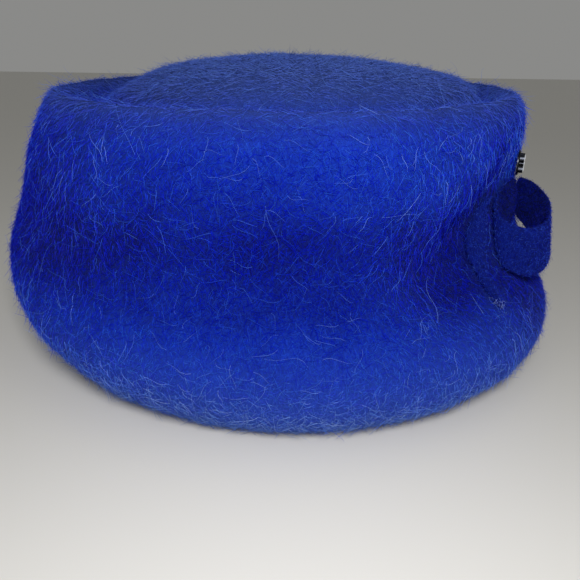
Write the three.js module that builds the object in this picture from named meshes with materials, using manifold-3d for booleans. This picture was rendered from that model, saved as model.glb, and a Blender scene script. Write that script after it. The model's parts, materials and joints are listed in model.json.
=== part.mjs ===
// A toque blocked from one sheet of long-haired wool felt: a snug wall that swells low
// down and turns under to an oval head opening, a rim with a groove behind it, and a
// low dome that leans to the left. A loop and a tail of felt strip hang in a pinch
// of the wall at the right, under a small button of cut stones.
// Millimetres, +Z up. +X is the side of the bow and -Y the front.

import * as THREE from 'three';
import { mergeVertices } from 'three/addons/utils/BufferGeometryUtils.js';
import Module from 'manifold-3d';

// Felt body: diameters
const bodyAcross = 249.4;
const waistAcross = 223.2;
const crestAcross = 198.8;
const domeAcross = 150.8;
const restAcross = 204.4;
const openingWide = 166;
const openingLong = 186;

// Felt body: heights above the surface that it rests on
const widestHeight = 31;
const waistHeight = 75;
const rimHeight = 116;
const crownRise = 12.3;
const valleyDepth = 9;
const hemRise = 18;

// Felt body: how far the soft shape moves off true
const sway = 10;
const rimLiftBack = 1.9;
const rimLiftRight = 0.45;
const domeLean = 1.8;
const dentDepth = 10;
const feltThickness = 2.6;

// Felt strip of the loop and the tail
const stripThickness = 2.2;
const loopReach = 16.2;
const loopForward = 25;
const loopDrop = 40;
const tailStandOff = 0.8;

// Where the bow and its button sit on the wall
const bowAzimuth = -22;
const bowHeight = 88;
const bowStandOff = 1.3;

// Button of five cut stones in a metal plate with cups
const plateAcross = 10.2;
const plateThickness = 0.8;
const buttonRise = 1.2;
const buttonBack = -0.3;
const stoneAcross = 2.5;
const stonePitch = 2.95;
const stoneClearance = 0.12;
const cupWall = 0.3;
const cupHeight = 1.7;

// Mesh steps
const stepsAround = 64;
const stoneSides = 8;

const deg = Math.PI / 180;
const wasm = await Module();
wasm.setup();

// The felt's section, from the top of the turned-in hem down to the resting ring, up the
// wall and in to the top of the dome. `out` goes from one girth to the next and `up`
// from one level to the next; `sway` shifts the ring to the right, `lift` and `lean`
// tilt it, and `steps` are the mesh steps to the next ring.
const girths = {
  opening: { wide: openingWide / 2, long: openingLong / 2 },
  rest: { wide: restAcross / 2, long: restAcross / 2 },
  body: { wide: bodyAcross / 2, long: bodyAcross / 2 },
  waist: { wide: waistAcross / 2, long: waistAcross / 2 },
  crest: { wide: crestAcross / 2, long: crestAcross / 2 },
  dome: { wide: domeAcross / 2, long: domeAcross / 2 },
  middle: { wide: 0, long: 0 },
};
const levels = {
  floor: 0,
  hem: hemRise,
  widest: widestHeight,
  waist: waistHeight,
  valley: rimHeight - valleyDepth,
  rim: rimHeight,
  top: rimHeight + crownRise,
};
const ringTable = [
  { ring: 'hem top', from: 'opening', to: 'rest', out: 0, low: 'floor', high: 'hem', up: 1, sway: 0.25, lift: 0, lean: 0, steps: 1 },
  { ring: 'hem foot', from: 'opening', to: 'rest', out: 0.03, low: 'floor', high: 'hem', up: 0.3, sway: 0.35, lift: 0, lean: 0, steps: 2 },
  { ring: 'rest inner', from: 'opening', to: 'rest', out: 0.42, low: 'floor', high: 'hem', up: 0, sway: 0.45, lift: 0, lean: 0, steps: 1 },
  { ring: 'rest outer', from: 'opening', to: 'rest', out: 1, low: 'floor', high: 'hem', up: 0, sway: 0.46, lift: 0, lean: 0, steps: 2 },
  { ring: 'under', from: 'rest', to: 'body', out: 0.4, low: 'floor', high: 'widest', up: 0.19, sway: 0.46, lift: 0, lean: 0, steps: 1 },
  { ring: 'low', from: 'rest', to: 'body', out: 0.72, low: 'floor', high: 'widest', up: 0.42, sway: 0.61, lift: 0, lean: 0, steps: 2 },
  { ring: 'bulge', from: 'body', to: 'waist', out: 0, low: 'floor', high: 'widest', up: 1, sway: 0.06, lift: 0, lean: 0, steps: 3 },
  { ring: 'shoulder', from: 'body', to: 'waist', out: 0.38, low: 'widest', high: 'waist', up: 0.466, sway: -0.74, lift: 0, lean: 0, steps: 3 },
  { ring: 'waist', from: 'waist', to: 'crest', out: 0, low: 'widest', high: 'waist', up: 1, sway: -0.71, lift: 0, lean: 0, steps: 3 },
  { ring: 'wall', from: 'waist', to: 'crest', out: 0.36, low: 'waist', high: 'rim', up: 0.6, sway: -0.15, lift: 0.5, lean: 0, steps: 2 },
  { ring: 'collar', from: 'waist', to: 'crest', out: 0.6, low: 'waist', high: 'rim', up: 0.865, sway: 0.04, lift: 1, lean: 0, steps: 2 },
  { ring: 'crest', from: 'crest', to: 'dome', out: 0, low: 'valley', high: 'rim', up: 1, sway: 0.04, lift: 1, lean: 0, steps: 2 },
  { ring: 'lip', from: 'crest', to: 'dome', out: 0.21, low: 'valley', high: 'rim', up: 0.66, sway: 0.04, lift: 1, lean: 0, steps: 2 },
  { ring: 'valley', from: 'crest', to: 'dome', out: 0.5, low: 'valley', high: 'rim', up: 0, sway: 0.04, lift: 1, lean: 0, steps: 2 },
  { ring: 'dome foot', from: 'dome', to: 'middle', out: 0, low: 'rim', high: 'top', up: 0.15, sway: 0.79, lift: 1, lean: 0, steps: 2 },
  { ring: 'dome side', from: 'dome', to: 'middle', out: 0.337, low: 'rim', high: 'top', up: 0.7, sway: 0.79, lift: 0, lean: 1, steps: 1 },
  { ring: 'dome top', from: 'dome', to: 'middle', out: 0.68, low: 'rim', high: 'top', up: 0.97, sway: 0.79, lift: 0, lean: 1, steps: 1 },
  { ring: 'top', from: 'dome', to: 'middle', out: 1, low: 'rim', high: 'top', up: 1, sway: 0.79, lift: 0, lean: 1, steps: 0 },
];
const restOuter = ringTable.findIndex((row) => row.ring === 'rest outer');
const crest = ringTable.findIndex((row) => row.ring === 'crest');

// Dents of the wall, soft hollows pressed inward; a negative `deep` is a swelling.
// `at` and `wide` are degrees round the wall, `height` and `tall` shares of the rim's
// height, `deep` a share of the dent depth and `slant` degrees to each rim height.
const dentTable = [
  { dent: 'pinch beside the bow', at: -43, height: 0.586, wide: 11.5, tall: 0.207, deep: 1.1, slant: 46 },
  { dent: 'foot of the pinch', at: -51, height: 0.474, wide: 12, tall: 0.129, deep: 0.65, slant: 23 },
  { dent: 'crease across the front', at: -98, height: 0.483, wide: 44, tall: 0.147, deep: 0.9, slant: 0 },
  { dent: 'fullness under the rim', at: -95, height: 0.819, wide: 50, tall: 0.138, deep: -0.25, slant: 0 },
  { dent: 'hollow at the left', at: -150, height: 0.603, wide: 22, tall: 0.138, deep: 0.3, slant: 0 },
  { dent: 'swelling at the left', at: -128, height: 0.31, wide: 16, tall: 0.121, deep: -0.2, slant: 0 },
  { dent: 'swelling at the right', at: -75, height: 0.293, wide: 14, tall: 0.121, deep: -0.2, slant: 0 },
  { dent: 'soft fold at the back', at: 75, height: 0.5, wide: 30, tall: 0.155, deep: 0.45, slant: 0 },
];

function between(low, high, share) {
  return low + (high - low) * share;
}

const rings = ringTable.map((row) => ({
  wide: between(girths[row.from].wide, girths[row.to].wide, row.out),
  long: between(girths[row.from].long, girths[row.to].long, row.out),
  height: between(levels[row.low], levels[row.high], row.up),
  sway: row.sway * sway,
  lift: row.lift,
  lean: row.lean,
}));
const channels = ['wide', 'long', 'height', 'sway', 'lift', 'lean'];

// Distance along the section at each ring
const stations = [0];
for (let i = 1; i < rings.length; i += 1) {
  const a = rings[i - 1];
  const b = rings[i];
  const inward = (b.wide + b.long - a.wide - a.long) / 2;
  stations.push(stations[i - 1] + Math.hypot(inward, b.height - a.height));
}

// Smooth curve through values at uneven stations
function smooth(values, at) {
  const last = stations.length - 1;
  let i = 0;
  while (i < last - 1 && at >= stations[i + 1]) i += 1;
  const slope = (k) => (values[k + 1] - values[k]) / (stations[k + 1] - stations[k]);
  const tangent = (k) => {
    if (k === 0) return slope(0);
    if (k === last) return slope(last - 1);
    const before = stations[k] - stations[k - 1];
    const after = stations[k + 1] - stations[k];
    return (slope(k - 1) * after + slope(k) * before) / (before + after);
  };
  const span = stations[i + 1] - stations[i];
  const t = (at - stations[i]) / span;
  return (2 * t ** 3 - 3 * t ** 2 + 1) * values[i] + (t ** 3 - 2 * t ** 2 + t) * span * tangent(i)
    + (3 * t ** 2 - 2 * t ** 3) * values[i + 1] + (t ** 3 - t ** 2) * span * tangent(i + 1);
}

const columns = Object.fromEntries(channels.map((name) => [name, rings.map((ring) => ring[name])]));

function dentAt(azimuth, height) {
  let depth = 0;
  for (const row of dentTable) {
    const rise = height / rimHeight - row.height;
    const turn = azimuth / deg - (row.at + row.slant * rise);
    const away = turn - 360 * Math.round(turn / 360);
    depth += row.deep * dentDepth * Math.exp(-((away / row.wide) ** 2) - (rise / row.tall) ** 2);
  }
  return depth;
}

// Point of the felt's outer surface at an angle round the hat and a distance along the section
function feltPoint(azimuth, along) {
  const ring = Object.fromEntries(channels.map((name) => [name, smooth(columns[name], along)]));
  const across = ring.wide * Math.cos(azimuth);
  const back = ring.long * Math.sin(azimuth);
  const level = Math.max(ring.height, 0);
  const height = level + (ring.lift * (rimLiftRight * across + rimLiftBack * back)
    - ring.lean * domeLean * across) / (crestAcross / 2);
  const point = new THREE.Vector3(ring.sway + across, back, height);
  if (along > stations[restOuter] && along < stations[crest]) {
    const heading = Math.atan2(back, across);
    const fade = Math.min(1, (stations[crest] - along) / dentDepth);
    const depth = dentAt(heading, height) * fade;
    point.x -= depth * Math.cos(azimuth);
    point.y -= depth * Math.sin(azimuth);
  }
  return point;
}

// Outward direction of the felt there, measured across a felt thickness so that tight folds stay open
const probe = 0.5 * feltThickness;
const probeTurn = probe / (waistAcross / 2);
function feltNormal(azimuth, along) {
  const top = stations[stations.length - 1] - probe;
  const at = Math.min(Math.max(along, probe), top);
  const round = feltPoint(azimuth + probeTurn, at).sub(feltPoint(azimuth - probeTurn, at));
  const rise = feltPoint(azimuth, at + probe).sub(feltPoint(azimuth, at - probe));
  return round.cross(rise).normalize();
}

// Place on the outer wall at a height
function wallAlong(azimuth, height) {
  let low = stations[restOuter];
  let high = stations[crest];
  for (let i = 0; i < 40; i += 1) {
    const middle = (low + high) / 2;
    if (feltPoint(azimuth, middle).z < height) low = middle;
    else high = middle;
  }
  return (low + high) / 2;
}

function meshFrom(name, points, faces, material) {
  const geometry = new THREE.BufferGeometry();
  geometry.setAttribute('position', new THREE.Float32BufferAttribute(points.flatMap((p) => [p.x, p.y, p.z]), 3));
  geometry.setIndex(faces.flat());
  geometry.computeVertexNormals();
  const mesh = new THREE.Mesh(geometry, material);
  mesh.name = name;
  return mesh;
}

// One closed sheet: the outer skin, the inner skin a felt thickness inside it, and the hem's edge
function feltBody(material) {
  const alongs = [];
  ringTable.forEach((row, i) => {
    for (let k = 0; k < row.steps; k += 1) {
      alongs.push(stations[i] + (stations[i + 1] - stations[i]) * (k / row.steps));
    }
  });
  const points = [];
  const faces = [];
  const skins = [0, 1].map((skin) => alongs.map((along) => {
    const first = points.length;
    for (let j = 0; j < stepsAround; j += 1) {
      const azimuth = (j / stepsAround) * 2 * Math.PI;
      const point = feltPoint(azimuth, along);
      points.push(point.addScaledVector(feltNormal(azimuth, along), -skin * feltThickness));
    }
    return first;
  }));
  const tops = [0, 1].map((skin) => {
    const point = feltPoint(0, stations[stations.length - 1]);
    point.z -= skin * feltThickness;
    return points.push(point) - 1;
  });
  const quad = (a, b, c, d) => faces.push([a, b, c], [a, c, d]);
  for (let j = 0; j < stepsAround; j += 1) {
    const next = (j + 1) % stepsAround;
    for (let i = 0; i < alongs.length - 1; i += 1) {
      const [low, high] = [skins[0][i], skins[0][i + 1]];
      quad(low + j, low + next, high + next, high + j);
      const [inLow, inHigh] = [skins[1][i], skins[1][i + 1]];
      quad(inLow + next, inLow + j, inHigh + j, inHigh + next);
    }
    const rim = alongs.length - 1;
    faces.push([skins[0][rim] + j, skins[0][rim] + next, tops[0]]);
    faces.push([skins[1][rim] + next, skins[1][rim] + j, tops[1]]);
    quad(skins[0][0] + next, skins[0][0] + j, skins[1][0] + j, skins[1][0] + next);
  }
  return meshFrom('hat_body', points, faces, material);
}

// A strip of felt from sections of points across it, each with the way its face looks
const edgeShare = 0.55;
function stripSolid(name, sections, material) {
  const points = [];
  const faces = [];
  const wide = sections[0].length;
  for (const section of sections) {
    section.forEach(({ point, facing }, k) => {
      const half = (stripThickness / 2) * (k === 0 || k === wide - 1 ? edgeShare : 1);
      points.push(point.clone().addScaledVector(facing, half));
      points.push(point.clone().addScaledVector(facing, -half));
    });
  }
  const id = (i, k, side) => (i * wide + k) * 2 + side;
  const quad = (a, b, c, d) => faces.push([a, b, c], [a, c, d]);
  for (let i = 0; i < sections.length - 1; i += 1) {
    for (let k = 0; k < wide - 1; k += 1) {
      quad(id(i, k, 0), id(i + 1, k, 0), id(i + 1, k + 1, 0), id(i, k + 1, 0));
      quad(id(i, k, 1), id(i, k + 1, 1), id(i + 1, k + 1, 1), id(i + 1, k, 1));
    }
    quad(id(i, 0, 1), id(i + 1, 0, 1), id(i + 1, 0, 0), id(i, 0, 0));
    quad(id(i, wide - 1, 0), id(i + 1, wide - 1, 0), id(i + 1, wide - 1, 1), id(i, wide - 1, 1));
  }
  const end = sections.length - 1;
  for (let k = 0; k < wide - 1; k += 1) {
    quad(id(0, k, 0), id(0, k + 1, 0), id(0, k + 1, 1), id(0, k, 1));
    quad(id(end, k, 1), id(end, k + 1, 1), id(end, k + 1, 0), id(end, k, 0));
  }
  return meshFrom(name, points, faces, material);
}

// The bow's own frame: `out` from the wall, `side` along it towards the front, and up
const bowAngle = bowAzimuth * deg;
const outward = new THREE.Vector3(Math.cos(bowAngle), Math.sin(bowAngle), 0);
const sideways = new THREE.Vector3(Math.sin(bowAngle), -Math.cos(bowAngle), 0);
const bowRoot = feltPoint(bowAngle, wallAlong(bowAngle, bowHeight)).addScaledVector(outward, bowStandOff);

function bowPoint(out, side, up) {
  return bowRoot.clone().addScaledVector(outward, out).addScaledVector(sideways, side)
    .add(new THREE.Vector3(0, 0, up));
}

// How much further out the wall stands at the loop's foot than at its root
const wallAtFoot = feltPoint(bowAngle, wallAlong(bowAngle, bowHeight - loopDrop));
const wallSpread = wallAtFoot.dot(outward) + bowStandOff - bowRoot.dot(outward);

// A place on the loop, from shares of its reach, forward length and drop. The loop leans out
// with the wall behind it.
function loopPoint(out, side, up) {
  return bowPoint(out * loopReach - up * wallSpread, side * loopForward, up * loopDrop);
}

// The loop leaves the root behind, turns outward and to the front, and comes back along
// the wall. The shares are given for each edge of the strip.
const loopTable = [
  { fold: 'far root', out: 0.019, side: -0.12, up: -0.12, lowOut: -0.122, lowSide: -0.15, lowUp: -0.21 },
  { fold: 'far top', out: 0.309, side: -0.04, up: -0.15, lowOut: -0.213, lowSide: -0.17, lowUp: -0.36 },
  { fold: 'far side', out: 0.542, side: 0.08, up: -0.22, lowOut: -0.226, lowSide: -0.1, lowUp: -0.52 },
  { fold: 'outer turn', out: 0.688, side: 0.24, up: -0.3, lowOut: 0.038, lowSide: 0.02, lowUp: -0.64 },
  { fold: 'outer front', out: 0.61, side: 0.6, up: -0.43, lowOut: 0.51, lowSide: 0.44, lowUp: -0.83 },
  { fold: 'front', out: 0.326, side: 0.8, up: -0.48, lowOut: 0.403, lowSide: 0.74, lowUp: -0.93 },
  { fold: 'front middle', out: 0.063, side: 0.92, up: -0.485, lowOut: 0.046, lowSide: 0.98, lowUp: -0.97 },
  { fold: 'inner turn', out: -0.37, side: 1.03, up: -0.4, lowOut: -0.467, lowSide: 1.17, lowUp: -0.87 },
  { fold: 'inner side', out: -0.503, side: 0.93, up: -0.315, lowOut: -0.569, lowSide: 1.04, lowUp: -0.74 },
  { fold: 'near side', out: -0.494, side: 0.73, up: -0.228, lowOut: -0.368, lowSide: 0.84, lowUp: -0.59 },
  { fold: 'near top', out: -0.314, side: 0.53, up: -0.14, lowOut: -0.19, lowSide: 0.53, lowUp: -0.43 },
  { fold: 'near root', out: -0.087, side: 0.22, up: -0.1, lowOut: -0.102, lowSide: 0.27, lowUp: -0.21 },
];

function feltLoop(material) {
  const upper = loopTable.map((row) => loopPoint(row.out, row.side, row.up));
  const lower = loopTable.map((row) => loopPoint(row.lowOut, row.lowSide, row.lowUp));
  const upperEdge = new THREE.CatmullRomCurve3(upper);
  const lowerEdge = new THREE.CatmullRomCurve3(lower);
  const steps = 3 * (loopTable.length - 1);
  const across = [0, 0.25, 0.5, 0.75, 1];
  const edgeAt = (t) => [lowerEdge.getPoint(t), upperEdge.getPoint(t)];
  const sections = [];
  for (let i = 0; i <= steps; i += 1) {
    const t = i / steps;
    const [low, high] = edgeAt(t);
    const [lowBefore, highBefore] = edgeAt(Math.max(t - 0.5 / steps, 0));
    const [lowAfter, highAfter] = edgeAt(Math.min(t + 0.5 / steps, 1));
    sections.push(across.map((share) => {
      const before = lowBefore.clone().lerp(highBefore, share);
      const after = lowAfter.clone().lerp(highAfter, share);
      const facing = after.sub(before).cross(high.clone().sub(low)).normalize();
      return { point: low.clone().lerp(high, share), facing };
    }));
  }
  return stripSolid('bow_loop', sections, material);
}

// The tail hangs in the pinch of the wall: degrees from the bow's root to its left and right
// edges, and its height and stand-off as shares of the rim's height and the tail's stand-off
const tailTable = [
  { fold: 'root', height: 0.681, left: -12.3, right: -10.8, off: 1 },
  { fold: 'neck', height: 0.647, left: -14, right: -11.8, off: 1 },
  { fold: 'broad', height: 0.6, left: -16.1, right: -12.2, off: 1.3 },
  { fold: 'belly', height: 0.55, left: -17.9, right: -13.5, off: 1.5 },
  { fold: 'lower', height: 0.5, left: -19.2, right: -15.4, off: 1.5 },
  { fold: 'bend', height: 0.455, left: -19.7, right: -17.3, off: 1.3 },
  { fold: 'point', height: 0.41, left: -20.8, right: -19.1, off: 1.1 },
  { fold: 'tip', height: 0.359, left: -21.6, right: -20.6, off: 1 },
];

function feltTail(material) {
  const asCurve = (read) => new THREE.SplineCurve(tailTable.map((row, i) => new THREE.Vector2(i, read(row))));
  const heights = asCurve((row) => row.height);
  const lefts = asCurve((row) => row.left);
  const rights = asCurve((row) => row.right);
  const offs = asCurve((row) => row.off);
  const steps = 3 * (tailTable.length - 1);
  const across = [0, 0.25, 0.5, 0.75, 1];
  const sections = [];
  for (let i = 0; i <= steps; i += 1) {
    const t = i / steps;
    const height = heights.getPoint(t).y * rimHeight;
    const off = offs.getPoint(t).y * tailStandOff + stripThickness / 2;
    sections.push(across.map((share) => {
      const turn = lefts.getPoint(t).y + (rights.getPoint(t).y - lefts.getPoint(t).y) * share;
      const azimuth = (bowAzimuth + turn) * deg;
      const along = wallAlong(azimuth, height);
      const facing = feltNormal(azimuth, along);
      return { point: feltPoint(azimuth, along).addScaledVector(facing, off), facing };
    }));
  }
  return stripSolid('bow_tail', sections, material);
}

function solidOf(geometry) {
  const bare = geometry.clone();
  bare.deleteAttribute('normal');
  bare.deleteAttribute('uv');
  const merged = mergeVertices(bare, 1e-4);
  return new wasm.Manifold(new wasm.Mesh({
    numProp: 3,
    vertProperties: merged.attributes.position.array,
    triVerts: new Uint32Array(merged.index.array),
  }));
}

function geometryOf(solid) {
  const { vertProperties, triVerts, numProp } = solid.getMesh();
  const positions = [];
  for (let i = 0; i < vertProperties.length; i += numProp) {
    positions.push(vertProperties[i], vertProperties[i + 1], vertProperties[i + 2]);
  }
  const geometry = new THREE.BufferGeometry();
  geometry.setAttribute('position', new THREE.Float32BufferAttribute(positions, 3));
  geometry.setIndex(Array.from(triVerts));
  geometry.computeVertexNormals();
  return geometry;
}

function turned(profile, sides) {
  const points = profile.map(([radius, height]) => new THREE.Vector2(radius, height));
  return new THREE.LatheGeometry(points, sides).rotateX(Math.PI / 2);
}

// One stone in the middle and four round it
const stonePlaces = [{ stone: 'middle', radius: 0, angle: 0 }];
for (const [k, stone] of ['upper_front', 'upper_back', 'lower_back', 'lower_front'].entries()) {
  stonePlaces.push({ stone, radius: stonePitch, angle: 45 + 90 * k });
}
const stoneRadius = stoneAcross / 2;
const stoneBelow = 0.72 * stoneRadius;
const stoneGirdle = 0.1 * stoneRadius;
const stoneAbove = 0.36 * stoneRadius;
const girdleHeight = plateThickness + cupHeight - stoneGirdle * 2;

// Cut stone: point below, thin girdle, and a crown of facets up to a flat table
const stoneProfile = [
  [0, -stoneBelow], [stoneRadius, 0], [stoneRadius, stoneGirdle],
  [0.8 * stoneRadius, 0.62 * stoneAbove + stoneGirdle], [0.56 * stoneRadius, stoneAbove + stoneGirdle],
  [0, stoneAbove + stoneGirdle],
];

function buttonSetting(material) {
  const plateRadius = plateAcross / 2;
  let solid = solidOf(turned([
    [0, 0], [plateRadius, 0], [plateRadius, 0.5 * plateThickness], [0.93 * plateRadius, plateThickness],
    [0, plateThickness],
  ], 32));
  const seatRadius = stoneRadius + stoneClearance;
  const cup = turned([
    [0, 0.3 * plateThickness], [seatRadius + cupWall, 0.3 * plateThickness],
    [seatRadius + 0.7 * cupWall, plateThickness + cupHeight], [0, plateThickness + cupHeight],
  ], 16);
  const seatDepth = stoneBelow + 2 * stoneClearance;
  const seat = turned([
    [0, girdleHeight - seatDepth], [seatRadius, girdleHeight - stoneClearance],
    [seatRadius, plateThickness + 2 * cupHeight], [0, plateThickness + 2 * cupHeight],
  ], 16);
  const placed = (geometry, { radius, angle }) => solidOf(geometry.clone().translate(
    radius * Math.cos(angle * deg),
    radius * Math.sin(angle * deg),
    0,
  ));
  for (const place of stonePlaces) solid = solid.add(placed(cup, place));
  for (const place of stonePlaces) solid = solid.subtract(placed(seat, place));
  const mesh = new THREE.Mesh(geometryOf(solid), material);
  mesh.name = 'button_setting';
  return mesh;
}

function cutStone({ stone, radius, angle }, material) {
  const geometry = geometryOf(solidOf(turned(stoneProfile, stoneSides)));
  const mesh = new THREE.Mesh(geometry, material);
  mesh.name = `stone_${stone}`;
  mesh.position.set(radius * Math.cos(angle * deg), radius * Math.sin(angle * deg), girdleHeight);
  return mesh;
}

const felt = new THREE.MeshStandardMaterial({ color: 0x1d3cb2, roughness: 0.95, metalness: 0 });
const stripFelt = new THREE.MeshStandardMaterial({ color: 0x162c92, roughness: 0.9, metalness: 0 });
const metal = new THREE.MeshStandardMaterial({ color: 0x8d8f96, roughness: 0.3, metalness: 1 });
const glass = new THREE.MeshStandardMaterial({ color: 0xe8eef5, roughness: 0.05, metalness: 0 });

const hat = new THREE.Group();
hat.add(feltBody(felt), feltLoop(stripFelt), feltTail(stripFelt));

// The button faces away from the wall, above the loop's root
const button = new THREE.Group();
button.add(buttonSetting(metal));
for (const place of stonePlaces) button.add(cutStone(place, glass));
button.quaternion.setFromRotationMatrix(new THREE.Matrix4().makeBasis(
  sideways.clone().negate(),
  new THREE.Vector3(0, 0, 1),
  outward,
));
button.position.copy(bowPoint(buttonBack, 0, buttonRise));
hat.add(button);

// The origin is under the middle of the whole hat, on the surface that it rests on
hat.updateMatrixWorld(true);
const box = new THREE.Box3().setFromObject(hat, true);
const centre = box.getCenter(new THREE.Vector3());
hat.position.set(-centre.x, -centre.y, -box.min.z);

export default hat;
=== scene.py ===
"""Looks of a felt toque: long-haired blue felt, a bow of felt strip and a cut-stone button."""

import json
import logging
import math
from dataclasses import dataclass, field, replace
from enum import Enum
from typing import Any

import bmesh
import bpy
import numpy as np
from mathutils import Matrix, Vector, noise
from mathutils.kdtree import KDTree

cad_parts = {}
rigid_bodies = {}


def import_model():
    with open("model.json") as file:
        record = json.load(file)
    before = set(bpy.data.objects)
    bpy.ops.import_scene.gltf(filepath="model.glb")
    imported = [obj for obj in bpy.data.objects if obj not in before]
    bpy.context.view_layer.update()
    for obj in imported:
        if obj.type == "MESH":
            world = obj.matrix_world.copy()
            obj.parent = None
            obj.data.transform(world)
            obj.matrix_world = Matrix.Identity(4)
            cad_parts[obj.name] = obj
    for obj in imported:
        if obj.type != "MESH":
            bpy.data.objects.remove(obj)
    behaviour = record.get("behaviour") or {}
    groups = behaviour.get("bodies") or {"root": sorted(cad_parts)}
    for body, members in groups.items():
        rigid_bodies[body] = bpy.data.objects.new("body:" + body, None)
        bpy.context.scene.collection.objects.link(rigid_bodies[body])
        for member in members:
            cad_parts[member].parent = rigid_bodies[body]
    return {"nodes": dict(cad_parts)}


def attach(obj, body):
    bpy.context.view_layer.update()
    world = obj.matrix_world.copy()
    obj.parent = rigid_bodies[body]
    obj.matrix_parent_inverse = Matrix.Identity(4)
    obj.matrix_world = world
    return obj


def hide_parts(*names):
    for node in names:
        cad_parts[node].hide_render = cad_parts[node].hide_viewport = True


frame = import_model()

LOG = logging.getLogger("toque")
MM = 0.001
PER_CM2 = 10000.0

# Length that counts as nought, in metres, and which triangles join into one quad
TINY = 1e-6
FLAT_DEG = 40
SQUARE_DEG = 60

# Roughness and detail of the two uneven patterns: the felt's swellings and its clouds of dye
RIPPLE_FALL = 0.7
RIPPLE_OCTAVES = 3
CLOUD_FALL = 0.8
CLOUD_OCTAVES = 2
OCTAVE_STEP = 2.0


class Strand(Enum):
    """Shapes that a single fibre can take."""

    SPIKE = "spike"
    ARCHED = "arched"
    WAVED = "waved"
    LONG = "long"


class Draw(Enum):
    """Random draws of a hair, each with the move of the coat's seed that keeps it apart."""

    TURN = 11
    DRIFT = 23
    LIFT = 37
    LENGTH = 53
    VARIANT = 71
    SHADE = 89


def linear(code: str, alpha: float = 1.0) -> tuple[float, float, float, float]:
    """Turns an sRGB colour into linear light.

    Args:
        code: Six hex digits, red first.
        alpha: Opacity to go with it.

    Returns:
        Red, green, blue and alpha.
    """
    levels = [int(code[i : i + 2], 16) / 255 for i in (0, 2, 4)]
    red, green, blue = (v / 12.92 if v <= 0.04045 else ((v + 0.055) / 1.055) ** 2.4 for v in levels)
    return red, green, blue, alpha


def add_node(
    tree: bpy.types.NodeTree,
    kind: str,
    settings: dict[str, Any] | None = None,
    values: dict[str | int, Any] | None = None,
    links: dict[str | int, bpy.types.NodeSocket] | None = None,
) -> bpy.types.Node:
    """Adds one node to a tree.

    Args:
        tree: Tree that the node goes into.
        kind: Node type name.
        settings: Properties of the node itself.
        values: Input values by socket name or number.
        links: Sockets that feed its inputs, by socket name or number.

    Returns:
        The new node.
    """
    node = tree.nodes.new(kind)
    for name, value in (settings or {}).items():
        setattr(node, name, value)
    for socket, value in (values or {}).items():
        node.inputs[socket].default_value = value
    for socket, source in (links or {}).items():
        tree.links.new(source, node.inputs[socket])
    return node


def new_material(name: str, values: dict[str, Any]) -> tuple[bpy.types.Material, bpy.types.Node]:
    """Makes a material with one shader.

    Args:
        name: Name of the material.
        values: Values of the shader's inputs.

    Returns:
        The material and its shader.
    """
    material = bpy.data.materials.new(name)
    material.use_nodes = True
    shader = material.node_tree.nodes["Principled BSDF"]
    for socket, value in values.items():
        shader.inputs[socket].default_value = value
    return material, shader


def with_painted_sheen(
    tree: bpy.types.NodeTree, colour: bpy.types.NodeSocket, painted_sheen_colour: str, share: float,
) -> bpy.types.NodeSocket:
    """Mixes a painted sheen, a pale grey-blue, into a colour where the skin's painted sheen attribute asks
    for it.

    Args:
        tree: Material tree.
        colour: Colour before the painted sheen.
        painted_sheen_colour: Colour of the full painted sheen.
        share: Part of the painted sheen that this layer takes.

    Returns:
        The colour with its painted sheen.
    """
    haze = add_node(tree, "ShaderNodeAttribute", {"attribute_name": "haze"})
    part = add_node(tree, "ShaderNodeMath", {"operation": "MULTIPLY"}, {1: share}, {0: haze.outputs["Fac"]})
    mixed = add_node(
        tree, "ShaderNodeMix", {"data_type": "RGBA"}, {"B": linear(painted_sheen_colour)},
        {"Factor": part.outputs[0], "A": colour},
    )
    return mixed.outputs["Result"]


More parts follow.
